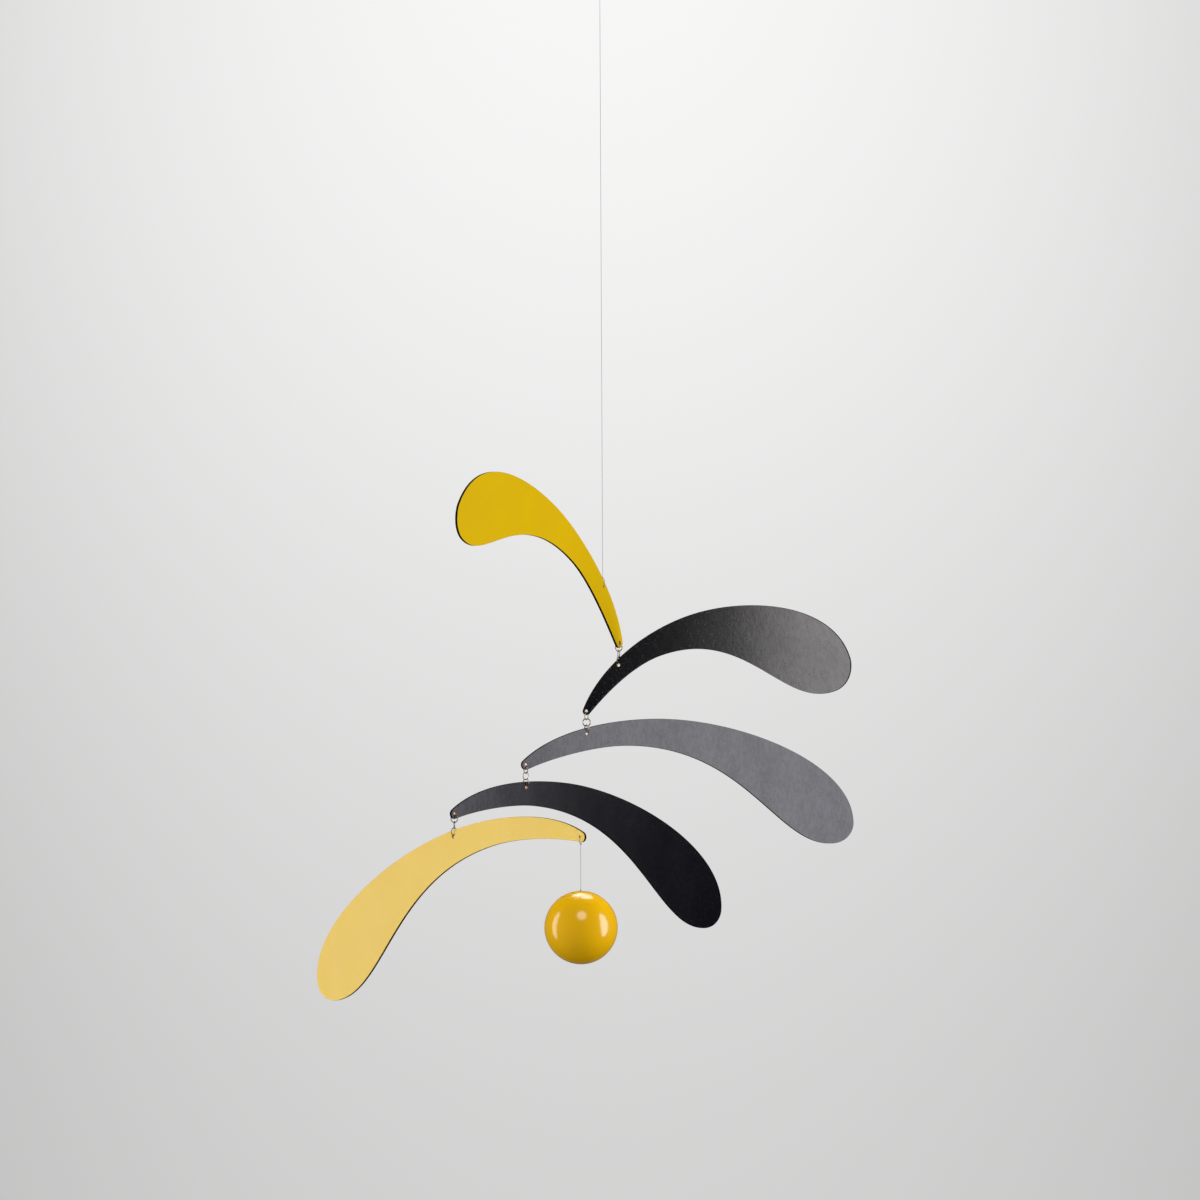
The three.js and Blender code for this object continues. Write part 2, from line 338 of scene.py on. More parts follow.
@dataclass(frozen=True)
class BoardEdge:
    """The dark cut edge of the blades' board, with its pressed layers."""

    name: str = "dark_board_edge"
    light: tuple[float, float, float] = (0.012, 0.004, 0.002)
    dark: tuple[float, float, float] = (0.003, 0.001, 0.001)
    layer_size: float = 0.00022
    layer_stretch: tuple[float, float, float] = (40, 1, 40)
    layer_share: float = 0.6
    pit_size: float = 0.0007
    pit_roughness: float = 0.25
    roughness: float = 0.65
    gloss: float = 0.05
    depth: float = 0.00004

    def material(self) -> bpy.types.Material:
        """Make the cut edge's material.

        Returns:
            The material, streaked along the edge, with pits of the saw or burner.
        """
        tree = material_tree(self.name)
        place = tree.place()
        layers = tree.noise(place, self.layer_size, Detail.SOME, self.layer_stretch)
        pits = tree.noise(place, self.pit_size)
        return tree.finish(
            Base_Color=tree.blend(layers.rising(*CLOSE_STEP), colour(*self.dark), colour(*self.light)),
            Roughness=self.roughness + self.pit_roughness * pits,
            Specular_IOR_Level=self.gloss,
            Normal=tree.bump(layers * self.layer_share + pits * (1 - self.layer_share), self.depth),
        )


@dataclass(frozen=True)
class RawBoard:
    """The bare golden-brown board in the walls of the drilled holes."""

    name: str = "bare_board_wall"
    light: tuple[float, float, float] = (0.62, 0.37, 0.13)
    dark: tuple[float, float, float] = (0.36, 0.18, 0.045)
    fibre_size: float = 0.0003
    roughness: float = 0.7
    depth: float = 0.00004

    def material(self) -> bpy.types.Material:
        """Make the bare board's material.

        Returns:
            The material, with short fibres and a rough cut.
        """
        tree = material_tree(self.name)
        fibres = tree.noise(tree.place(), self.fibre_size, Detail.MUCH)
        return tree.finish(
            Base_Color=tree.blend(fibres.rising(*CLOSE_STEP), colour(*self.dark), colour(*self.light)),
            Roughness=self.roughness,
            Normal=tree.bump(fibres, self.depth),
        )


@dataclass(frozen=True)
class RingWire:
    """The bright drawn wire of the rings."""

    name: str = "bright_ring_wire"
    tone: tuple[float, float, float] = (0.7, 0.64, 0.54)
    # painted reflection: this golden-brown tone stands for warm reflections on the silvery wire
    painted_reflection_tone: tuple[float, float, float] = (0.5, 0.38, 0.22)
    warm_patch_size: float = 0.0016
    warm_patch_step: tuple[float, float] = (0.45, 0.7)
    warm_patch_roughness: float = 0.14
    roughness: float = 0.12
    line_size: float = 0.00015
    line_stretch: tuple[float, float, float] = (1, 12, 1)
    line_depth: float = 0.000004

    def material(self) -> bpy.types.Material:
        """Make the wire's material.

        Returns:
            The material, a plated metal with warmer, rougher patches whose golden-brown tone is a painted
            reflection, and fine drawing lines.
        """
        tree = material_tree(self.name)
        place = tree.place()
        warm_patches = tree.noise(place, self.warm_patch_size).rising(*self.warm_patch_step)
        lines = tree.noise(place, self.line_size, Detail.LITTLE, self.line_stretch)
        return tree.finish(
            # the warm patches mix a painted golden-brown reflection into the wire's colour; their extra
            # roughness is real
            Base_Color=tree.blend(warm_patches, colour(*self.tone), colour(*self.painted_reflection_tone)),
            Metallic=1.0,
            Roughness=self.roughness + self.warm_patch_roughness * warm_patches,
            Normal=tree.bump(lines, self.line_depth),
        )


@dataclass(frozen=True)
class ThreadFinish:
    """The pale smooth thread."""

    name: str = "pale_smooth_thread"
    tone: tuple[float, float, float] = (0.42, 0.42, 0.43)
    shade: tuple[float, float, float] = (0.33, 0.33, 0.34)
    drift_size: float = 0.0012
    drift_stretch: tuple[float, float, float] = (1, 1, 6)
    drift_roughness: float = 0.2
    roughness: float = 0.3
    fibre_size: float = 0.0003
    fibre_stretch: tuple[float, float, float] = (1, 1, 5)
    fibre_depth: float = 0.00001

    def material(self) -> bpy.types.Material:
        """Make the thread's material.

        Returns:
            The material, with slow changes of tone along the thread.
        """
        tree = material_tree(self.name)
        place = tree.place()
        drift = tree.noise(place, self.drift_size, Detail.SOME, self.drift_stretch)
        fibres = tree.noise(place, self.fibre_size, Detail.LITTLE, self.fibre_stretch)
        return tree.finish(
            Base_Color=tree.blend(drift, colour(*self.tone), colour(*self.shade)),
            Roughness=self.roughness + self.drift_roughness * drift,
            Normal=tree.bump(fibres, self.fibre_depth),
        )


@dataclass(frozen=True)
class BallLacquer:
    """The glossy lacquer of the ball."""

    name: str = "ball_gloss_yellow"
    tone: tuple[float, float, float] = (1.0, 0.55, 0.0)
    deep_tone: tuple[float, float, float] = (0.97, 0.53, 0.0)
    density: float = 1.75
    roughness: float = 0.14
    cloud_size: float = 0.018
    cloud_roughness: float = 0.03
    peel_size: float = 0.0025
    peel_depth: float = 0.0000015
    speck_size: float = 0.0008
    speck_step: tuple[float, float] = (0.77, 0.85)
    speck_roughness: float = 0.1

    def material(self) -> bpy.types.Material:
        """Make the ball's material.

        Returns:
            The material, a gloss with a faint orange peel, slow drift of tone and a few specks.
        """
        tree = material_tree(self.name)
        place = tree.place()
        cloud = tree.noise(place, self.cloud_size, Detail.MUCH)
        peel = tree.noise(place, self.peel_size, Detail.LITTLE)
        specks = tree.noise(place, self.speck_size, Detail.NONE).rising(*self.speck_step)
        return tree.finish(
            Base_Color=tree.blend(cloud.rising(*BROAD_STEP), colour(*self.tone), colour(*self.deep_tone)),
            Roughness=self.roughness + self.cloud_roughness * cloud + self.speck_roughness * specks,
            IOR=self.density,
            Normal=tree.bump(peel + specks, self.peel_depth),
        )


@dataclass(frozen=True)
class FloorPaint:
    """The plain pale floor, which fades out at its rim."""

    name: str = "pale_floor"
    tone: tuple[float, float, float] = (0.62, 0.62, 0.62)
    full: float = 2.6
    gone: float = 4.4
    grain_size: float = 0.01
    grain_roughness: float = 0.1
    roughness: float = 0.75

    def material(self) -> bpy.types.Material:
        """Make the floor's material.

        Returns:
            The material, a matt paint that is full up to one distance and gone at another.
        """
        tree = material_tree(self.name)
        place = tree.place()
        far = tree.node("ShaderNodeVectorMath", {"operation": "LENGTH"}, {0: place}, "Value")
        grain = tree.noise(place, self.grain_size)
        return tree.finish(
            Base_Color=colour(*self.tone),
            Roughness=self.roughness + self.grain_roughness * grain,
            Alpha=1 - far.rising(self.full, self.gone),
        )


@dataclass
class MeshDraft:
    """Corners and faces that are gathered before they become one object."""

    corners: list[Vector] = field(default_factory=list)
    faces: list[tuple[int, ...]] = field(default_factory=list)
    slots: list[int] = field(default_factory=list)
    smooth: list[bool] = field(default_factory=list)

    def row(self, corners: list[Vector]) -> list[int]:
        """Add a row of corners.

        Args:
            corners: the corners in order.

        Returns:
            Their numbers.
        """
        start = len(self.corners)
        self.corners.extend(corners)
        return list(range(start, len(self.corners)))

    def face(self, corners: tuple[int, ...], slot: int = 0, smooth: bool = True) -> None:
        """Add one face.

        Args:
            corners: the numbers of its corners.
            slot: its material slot.
            smooth: whether it is shaded smoothly.
        """
        self.faces.append(corners)
        self.slots.append(slot)
        self.smooth.append(smooth)

    def band(self, first: list[int], second: list[int], slot: int = 0, closed: bool = True) -> None:
        """Join two rows of corners with a band of faces.

        Args:
            first: one row.
            second: the row beside it, as long as the first.
            slot: the faces' material slot.
            closed: whether the rows close on themselves.
        """
        count = len(first)
        for index in range(count if closed else count - 1):
            following = (index + 1) % count
            self.face((first[index], first[following], second[following], second[index]), slot)

    def object(
        self, name: str, materials: list[bpy.types.Material], stand: Matrix | None = None, shift: float = 0.0
    ) -> bpy.types.Object:
        """Make the object.

        Args:
            name: the piece's name.
            materials: the materials of its slots.
            stand: the matrix that puts the draft in its place, if it isn't drawn there.
            shift: how far the piece's texture is moved, so that like pieces differ.

        Returns:
            The object, linked to the scene.
        """
        mesh = bpy.data.meshes.new(name)
        placed = self.corners if stand is None else [stand @ corner for corner in self.corners]
        mesh.from_pydata(placed, [], self.faces)
        for material in materials:
            mesh.materials.append(material)
        mesh.polygons.foreach_set("material_index", self.slots)
        mesh.polygons.foreach_set("use_smooth", self.smooth)
        mesh.validate()
        mesh.update()
        own = mesh.attributes.new(OWN_PLACE, "FLOAT_VECTOR", "POINT")
        own.data.foreach_set("vector", [part + shift for corner in self.corners for part in corner])
        made = bpy.data.objects.new(name, mesh)
        bpy.context.scene.collection.objects.link(made)
        return made


def circle(radius: float, steps: int, across: Vector, beside: Vector) -> list[Vector]:
    """Go round a circle about the origin.

    Args:
        radius: the circle's radius.
        steps: the number of points.
        across: the direction of the first point.
        beside: the direction a quarter turn further on.

    Returns:
        The points.
    """
    turns = [2 * math.pi * step / steps for step in range(steps)]
    return [radius * (math.cos(turn) * across + math.sin(turn) * beside) for turn in turns]


def smooth_path(places: list[Vector], steps: int) -> list[Vector]:
    """Run a smooth path through places, evenly stepped between each two.

    Args:
        places: the places that the path goes through.
        steps: the steps between two of them.

    Returns:
        The points of the path.
    """
    ends = [2 * places[0] - places[1], *places, 2 * places[-1] - places[-2]]
    path = []
    for index in range(1, len(ends) - 2):
        before, start, end, after = ends[index - 1 : index + 3]
        for step in range(steps):
            share = step / steps
            doubled = (
                2 * start
                + (end - before) * share
                + (2 * before - 5 * start + 4 * end - after) * share**2
                + (3 * start - before - 3 * end + after) * share**3
            )
            path.append(doubled / 2)
    return [*path, places[-1].copy()]


def tube(path: list[Vector], radius: float, sides: int) -> MeshDraft:
    """Sweep a round section along a path, with domed ends.

    Args:
        path: the centreline.
        radius: the tube's radius.
        sides: the corners of its section.

    Returns:
        The draft of the closed tube.
    """
    draft = MeshDraft()
    last = len(path) - 1
    neighbours = [(path[max(index - 1, 0)], path[min(index + 1, last)]) for index in range(len(path))]
    tangents = [(after - before).normalized() for before, after in neighbours]
    across = tangents[0].orthogonal().normalized()
    rows = []
    for index, (point, tangent) in enumerate(zip(path, tangents)):
        across = (across - tangent * across.dot(tangent)).normalized()
        beside = tangent.cross(across)
        section = radius * END_DOME if index in (0, last) else radius
        rows.append(draft.row([point + offset for offset in circle(section, sides, across, beside)]))
    for first, second in zip(rows, rows[1:]):
        draft.band(first, second)
    draft.face(tuple(reversed(rows[0])))
    draft.face(tuple(rows[-1]))
    return draft


@dataclass(frozen=True)
class Bezier:
    """One curve of an outline."""

    start: Vector
    leave: Vector
    arrive: Vector
    end: Vector

    def point(self, share: float) -> Vector:
        """Return the point at a share of the curve."""
        rest = 1 - share
        return (
            rest**3 * self.start
            + 3 * rest**2 * share * self.leave
            + 3 * rest * share**2 * self.arrive
            + share**3 * self.end
        )

    def direction(self, share: float) -> Vector:
        """Find where the curve heads.

        Args:
            share: the share of the curve.

        Returns:
            Its direction there.
        """
        rest = 1 - share
        slope = (
            rest**2 * (self.leave - self.start)
            + 2 * rest * share * (self.arrive - self.leave)
            + share**2 * (self.end - self.arrive)
        )
        return slope.normalized()


@dataclass(frozen=True)
class Turn:
    """A place where an outline turns, and the reach of the curve on both sides, as shares of the length."""

    x: float
    y: float
    before: float
    after: float


@dataclass(frozen=True)
class Outline:
    """A leaf shape in its own plane, x from the round tip's middle to the nose and y up."""

    length: float
    tip_radius: float
    back_angle: float
    back_reach: float
    crown: Turn
    nose: Turn
    keel: Turn
    belly: Turn
    under_angle: float
    under_reach: float

    def curves(self) -> list[Bezier]:
        """Draw the outline's curves.

        Returns:
            The curves of the back, the head's top, the nose, the head's underside and the belly.
        """

        def at(x: float, y: float) -> Vector:
            """Return a point given in shares of the length."""
            return Vector((x * self.length, y * self.length))

        def heading(angle: float) -> Vector:
            """Return the direction of an angle in degrees."""
            return Vector((math.cos(math.radians(angle)), math.sin(math.radians(angle))))

        back, under = heading(self.back_angle), heading(self.under_angle)
        back_start = Vector((-back.y, back.x)) * self.tip_radius
        under_end = Vector((under.y, -under.x)) * self.tip_radius
        crown, nose, keel, belly = self.crown, self.nose, self.keel, self.belly
        return [
            Bezier(
                back_start,
                back_start + back * self.back_reach * self.length,
                at(crown.x - crown.before, crown.y),
                at(crown.x, crown.y),
            ),
            Bezier(
                at(crown.x, crown.y),
                at(crown.x + crown.after, crown.y),
                at(nose.x, nose.y + nose.before),
                at(nose.x, nose.y),
            ),
            Bezier(
                at(nose.x, nose.y),
                at(nose.x, nose.y - nose.after),
                at(keel.x + keel.before, keel.y),
                at(keel.x, keel.y),
            ),
            Bezier(
                at(keel.x, keel.y),
                at(keel.x - keel.after, keel.y),
                at(belly.x + belly.before, belly.y),
                at(belly.x, belly.y),
            ),
            Bezier(
                at(belly.x, belly.y),
                at(belly.x - belly.after, belly.y),
                under_end + under * self.under_reach * self.length,
                under_end,
            ),
        ]

    def walk(self, steps: int, tip_steps: int) -> list[tuple[Vector, Vector]]:
        """Go round the outline.

        Args:
            steps: the steps along each curve.
            tip_steps: the steps round the tip.

        Returns:
            The points, each with the direction out of the blade.
        """
        walked = []
        for curve in self.curves():
            for step in range(steps):
                along = curve.direction(step / steps)
                walked.append((curve.point(step / steps), Vector((-along.y, along.x))))
        start = math.radians(self.under_angle - 90)
        end = math.radians(self.back_angle + 90 - 360)
        for step in range(tip_steps):
            angle = start + (end - start) * step / tip_steps
            out = Vector((math.cos(angle), math.sin(angle)))
            walked.append((out * self.tip_radius, out))
        return walked

    def hanging_hole(self, hang_at: float, hang_edge: float) -> Vector:
        """Find the hole under a point of the back.

        Args:
            hang_at: the point's distance along x.
            hang_edge: how far in from the edge the hole is.

        Returns:
            The middle of the hole.
        """
        back, head_top = self.curves()[:2]
        curve = back if hang_at < back.end.x else head_top
        low, high = 0.0, 1.0
        for _ in range(SEARCH_STEPS):
            middle = (low + high) / 2
            if curve.point(middle).x < hang_at:
                low = middle
            else:
                high = middle
        along = curve.direction(low)
        return curve.point(low) + Vector((along.y, -along.x)) * hang_edge

    def tip_hole(self, inset: float) -> Vector:
        """Return the hole on the tip's middle line, in from the tip's middle."""
        angle = math.radians((self.back_angle + self.under_angle) / 2)
        return Vector((math.cos(angle), math.sin(angle))) * inset


UPPER_OUTLINE = Outline(
    length=0.2555,
    tip_radius=0.0044,
    back_angle=44.1,
    back_reach=0.167,
    crown=Turn(0.508, 0.173, 0.147, 0.179),
    nose=Turn(1, -0.116, 0.229, 0.029),
    keel=Turn(0.922, -0.202, 0.054, 0.146),
    belly=Turn(0.365, 0.076, 0.36, 0.137),
    under_angle=15.5,
    under_reach=0.03,
)
SECOND_OUTLINE = Outline(
    length=0.2432,
    tip_radius=0.0032,
    back_angle=48.7,
    back_reach=0.146,
    crown=Turn(0.467, 0.192, 0.193, 0.217),
    nose=Turn(1, -0.132, 0.207, 0.031),
    keel=Turn(0.909, -0.221, 0.066, 0.198),
    belly=Turn(0.327, 0.0945, 0.342, 0.137),
    under_angle=28.3,
    under_reach=0.031,
)
LONG_OUTLINE = Outline(
    length=0.3278,
    tip_radius=0.0042,
    back_angle=39.6,
    back_reach=0.101,
    crown=Turn(0.384, 0.11, 0.168, 0.251),
    nose=Turn(1, -0.175, 0.162, 0.023),
    keel=Turn(0.93, -0.227, 0.048, 0.171),
    belly=Turn(0.289, 0.0422, 0.3725, 0.1),
    under_angle=22.4,
    under_reach=0.0525,
)


@dataclass(frozen=True)
class BladePlan:
    """How one blade is cut, how it hangs by its hole, and how the rings under its tip are turned."""

    node: str
    body: Body
    slot: Slot
    outline: Outline
    hang_at: float
    hang_edge: float
    yaw: float
    tilt: float
    ring_yaws: tuple[float, ...] = ()
    hole_inset: float = 0.0


BLADES = (
    BladePlan(
        node="blade_1_yellow",
        body=Body.FIRST,
        slot=Slot.YELLOW,
        outline=UPPER_OUTLINE,
        hang_at=0.04405,
        hang_edge=0.00345,
        yaw=236,
        tilt=33,
        ring_yaws=(-31, -77, 62),
    ),
    BladePlan(
        node="blade_2_black",
        body=Body.SECOND,
        slot=Slot.BLACK,
        outline=SECOND_OUTLINE,
        hang_at=0.0392,
        hang_edge=0.004,
        yaw=-26,
        tilt=18,
        ring_yaws=(64, 4, -58),
    ),
    BladePlan(
        node="blade_3_black",
        body=Body.THIRD,
        slot=Slot.BLACK,
        outline=LONG_OUTLINE,
        hang_at=0.0587,
        hang_edge=0.0046,
        yaw=31.5,
        tilt=0.2,
        ring_yaws=(-58, 45, -45),
    ),
    BladePlan(
        node="blade_4_black",
        body=Body.FOURTH,
        slot=Slot.BLACK,
        outline=LONG_OUTLINE,
        hang_at=0.0803,
        hang_edge=0.0045,
        yaw=45.65,
        tilt=-6.15,
        ring_yaws=(-30, 86, 43),
    ),
    BladePlan(
        node="blade_5_yellow",
        body=Body.FIFTH,
        slot=Slot.YELLOW,
        outline=LONG_OUTLINE,
        hang_at=0.1415,
        hang_edge=0.005,
        yaw=136.8,
        tilt=-13.4,
        hole_inset=0.0014,
    ),
)


@dataclass(frozen=True)
class Blade:
    """One flat blade with its two holes."""

    plan: BladePlan
    hang: Vector
    hang_radius: float
    tip_radius: float
    thickness: float = BOARD_THICKNESS
    rounding: float = 0.00018
    rounding_steps: int = 3
    steps: int = 56
    tip_steps: int = 24
    hole_steps: int = 40
    texture_step: float = 0.7

    def stand(self) -> Matrix:
        """Return the matrix that takes the blade's own plane to where it hangs."""
        hole = self.plan.outline.hanging_hole(self.plan.hang_at, self.plan.hang_edge)
        return (
            Matrix.Translation(self.hang)
            @ Matrix.Rotation(math.radians(self.plan.yaw), 4, "Z")
            @ Matrix.Rotation(-math.radians(self.plan.tilt), 4, "Y")
            @ Matrix.Translation((-hole.x, 0, -hole.y))
        )

    def tip(self) -> Vector:
        """Return where the middle of the tip's hole hangs."""
        inner = self.plan.outline.tip_hole(self.plan.hole_inset)
        return self.stand() @ Vector((inner.x, 0, inner.y))

    def edge_distance(self, hole: Vector, side: int) -> float:
        """Measure from a hole to the blade's edge as it hangs.

        Args:
            hole: the middle of the hole.
            side: 1 for straight up and -1 for straight down.

        Returns:
            The distance to the nearest crossing of the outline.
        """
        tilt = math.radians(self.plan.tilt)
        upright = side * Vector((math.sin(tilt), math.cos(tilt)))
        offsets = [point - hole for point, _ in self.plan.outline.walk(self.steps, self.tip_steps)]
        crossings = []
        for before, after in zip(offsets, offsets[1:]):
            first = before.x * upright.y - before.y * upright.x
            second = after.x * upright.y - after.y * upright.x
            if first * second > 0:
                continue
            crossing = before.lerp(after, first / (first - second)).dot(upright)
            if crossing > 0:
                crossings.append(crossing)
        return min(crossings)

    def profile(self) -> list[tuple[float, float]]:
        """Draw the section of the plate's edge.

        Returns:
            Pairs of how far in and how high over the middle of the board, from the far face to the near one.
        """
        half = self.thickness / 2 - self.rounding
        quarter = []
        for step in range(self.rounding_steps + 1):
            turn = math.pi / 2 * (1 - step / self.rounding_steps)
            quarter.append((self.rounding * (1 - math.cos(turn)), half + self.rounding * math.sin(turn)))
        return quarter + [(inset, -height) for inset, height in reversed(quarter)]

    def hole_walk(self, centre: Vector, radius: float) -> list[tuple[Vector, Vector]]:
        """Go round a hole.

        Args:
            centre: the middle of the hole.
            radius: the hole's radius.

        Returns:
            The points, each with the direction out of the board.
        """
        outward = circle(1.0, self.hole_steps, Vector((1, 0)), Vector((0, -1)))
        return [(centre + out * radius, -out) for out in outward]

    def draft(self) -> MeshDraft:
        """Build the plate with rounded edges.

        Returns:
            The draft, with slots for the lacquer, the cut edge and the holes' walls.
        """
        outline = self.plan.outline
        loops = [
            outline.walk(self.steps, self.tip_steps),
            self.hole_walk(outline.hanging_hole(self.plan.hang_at, self.plan.hang_edge), self.hang_radius),
            self.hole_walk(outline.tip_hole(self.plan.hole_inset), self.tip_radius),
        ]
        draft = MeshDraft()
        far_faces, near_faces = [], []
        for number, loop in enumerate(loops):
            wall = EDGE_SLOT if number == 0 else HOLE_SLOT
            rows = []
            for inset, height in self.profile():
                places = [point - out * inset for point, out in loop]
                rows.append(draft.row([Vector((place.x, height, place.y)) for place in places]))
            for step, (first, second) in enumerate(zip(rows, rows[1:])):
                painted = step in (0, len(rows) - 2)
                draft.band(second, first, FACE_SLOT if painted else wall)
            far_faces.append(rows[0])
            near_faces.append(rows[-1])
        for rows, side in ((far_faces, 1), (near_faces, -1)):
            numbers = [number for row in rows for number in row]
            flat = [[Vector((draft.corners[n].x, draft.corners[n].z, 0)) for n in row] for row in rows]
            for triangle in tessellate_polygon(flat):
                first, second, third = (draft.corners[numbers[corner]] for corner in triangle)
                facing = (second - first).cross(third - first).y * side
                corners = triangle if facing > 0 else tuple(reversed(triangle))
                draft.face(tuple(numbers[corner] for corner in corners), FACE_SLOT, smooth=False)
        return draft

    def build(self, materials: list[bpy.types.Material]) -> bpy.types.Object:
        """Make the blade and hang it.

        Args:
            materials: those of the faces, the cut edge and the holes' walls.

        Returns:
            The piece.
        """
        shift = BLADES.index(self.plan) * self.texture_step
        piece = self.draft().object(f"{self.plan.node}_plate", materials, self.stand(), shift)
        return ridden(piece, self.plan.body, self.plan.slot, self.plan.node)


def ridden(piece: bpy.types.Object, body: Body, slot: Slot, *nodes: str) -> bpy.types.Object:
    """Let a piece ride on a body in place of CAD nodes.

    Args:
        piece: the piece, already in place.
        body: what it rides on.
        slot: the record's material slot; not used.
        nodes: the CAD nodes that it stands for.

    Returns:
        The piece.
    """
    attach(piece, body.value)
    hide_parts(*nodes)
    LOG.info("piece %s rides on %s", piece.name, body.value)
    return piece


@dataclass(frozen=True)
class RingChain:
    """The three jump rings under a blade's tip."""

    number: int
    tip: Vector
    yaws: tuple[float, ...]
    above: Body
    below: Body
    wire: float = 0.0008
    outer: float = 0.00715
    gap: float = 0.0002
    cut: float = 0.00012
    sides: int = 16
    steps: int = 72
    cut_angle: float = 38.0
    texture_step: float = 0.013

    def inner_radius(self) -> float:
        """Return the radius inside the wire."""
        return self.outer / 2 - self.wire

    def hole_to_ring(self) -> float:
        """Return how far a ring's middle is from the hole that it hangs in."""
        return RING_HOLE_RADIUS + math.sqrt(self.inner_radius() ** 2 - (BOARD_THICKNESS / 2) ** 2) - self.gap

    def ring_to_ring(self) -> float:
        """Return how far apart the middles of two linked rings are."""
        return 2 * self.inner_radius() - self.gap

    def bottom(self) -> Vector:
        """Return where the hole of the next blade hangs."""
        drop = 2 * self.hole_to_ring() + (len(self.yaws) - 1) * self.ring_to_ring()
        return self.tip - UP * drop

    def draft(self) -> MeshDraft:
        """Bend one ring of wire in the XZ plane, with the fine cut between its ends.

        Returns:
            The draft of the ring, its middle at the origin.
        """
        radius = (self.outer - self.wire) / 2
        start = math.radians(self.cut_angle) + self.cut / radius / 2
        sweep = 2 * math.pi - self.cut / radius
        draft = MeshDraft()
        rows = []
        for step in range(self.steps + 1):
            angle = start + sweep * step / self.steps
            out = Vector((math.cos(angle), 0, math.sin(angle)))
            section = circle(self.wire / 2, self.sides, out, AWAY)
            rows.append(draft.row([out * radius + offset for offset in section]))
        for first, second in zip(rows, rows[1:]):
            draft.band(first, second)
        draft.face(tuple(reversed(rows[0])), smooth=False)
        draft.face(tuple(rows[-1]), smooth=False)
        return draft

    def build(self, metal: bpy.types.Material) -> list[bpy.types.Object]:
        """Make the rings and hang them in each other.

        Args:
            metal: the wire's material.

        Returns:
            The pieces from the top down.
        """
        pieces = []
        for index, (place, yaw) in enumerate(zip(("top", "middle", "bottom"), self.yaws)):
            node = f"ring_{self.number}_{place}"
            middle = self.tip - UP * (self.hole_to_ring() + index * self.ring_to_ring())
            stand = Matrix.Translation(middle) @ Matrix.Rotation(math.radians(yaw), 4, "Z")
            shift = (self.number * len(self.yaws) + index) * self.texture_step
            piece = self.draft().object(f"{node}_wire", [metal], stand, shift)
            pieces.append(ridden(piece, self.above if index == 0 else self.below, Slot.WIRE, node))
        return pieces


@dataclass(frozen=True)
class ThreadWork:
    """What all threads share: their size, their knots and how they go through a hole."""

    finish: bpy.types.Material
    diameter: float = 0.0004
    sides: int = 12
    spacing: float = 0.00035
    knot_clearance: float = 0.0018
    knot_half: float = 0.00078
    knot_turns: float = 3.5
    knot_radius: float = 0.00034
    knot_steps: int = 20
    knot_swell: float = 0.25
    tail: float = 0.0011
    tie_steps: int = 10

    def strand(self, name: str, path: list[Vector], stand: Matrix | None = None) -> bpy.types.Object:
        """Make a thread along a path, put where the matrix says."""
        return tube(path, self.diameter / 2, self.sides).object(name, [self.finish], stand)

    def knot(self, name: str, centre: Vector) -> bpy.types.Object:
        """Wind a barrel knot round an upright thread, with its cut tail.

        Args:
            name: the piece's name.
            centre: the middle of the knot.

        Returns:
            The knot.
        """
        path = []
        count = round(self.knot_turns * self.knot_steps)
        reach = self.knot_half - self.diameter / 2
        for step in range(count + 1):
            share = step / count
            angle = 2 * math.pi * self.knot_turns * share
            swell = 1 + self.knot_swell * math.sin(math.pi * share)
            path.append(
                centre
                + self.knot_radius * swell * Vector((math.cos(angle), math.sin(angle), 0))
                + UP * reach * (2 * share - 1)
            )
        out = (path[-1] - path[-2]).normalized()
        path.append(path[-1] + out * self.tail / 2 + UP * self.diameter / 2)
        path.append(path[-1] + out * self.tail / 2 + UP * self.diameter)
        return self.strand(name, path)

    def tie(self, name: str, hole: Vector, yaw: float, knot_height: float) -> bpy.types.Object:
        """Run a thread through a hole and round the blade's edge to a knot.

        Args:
            name: the piece's name.
            hole: the middle of the hole.
            yaw: the blade's turn in degrees.
            knot_height: the knot's height over the hole, or under it if negative.

        Returns:
            The tie.
        """
        side = math.copysign(1, knot_height)
        radius = self.diameter / 2
        clear = BOARD_THICKNESS / 2 + radius + self.spacing
        in_hole = side * (THREAD_HOLE_RADIUS - radius - self.spacing)
        half = [
            Vector((0, 0, in_hole)),
            Vector((0, clear - self.spacing, in_hole + side * radius)),
            Vector((0, clear, side * (THREAD_HOLE_RADIUS + self.spacing))),
            Vector((0, clear, knot_height - side * self.knot_clearance)),
            Vector((0, radius / 2, knot_height)),
        ]
        other = [Vector((place.x, -place.y, place.z)) for place in reversed(half[1:])]
        stand = Matrix.Translation(hole) @ Matrix.Rotation(math.radians(yaw), 4, "Z")
        return self.strand(name, smooth_path([*other, *half], self.tie_steps), stand)


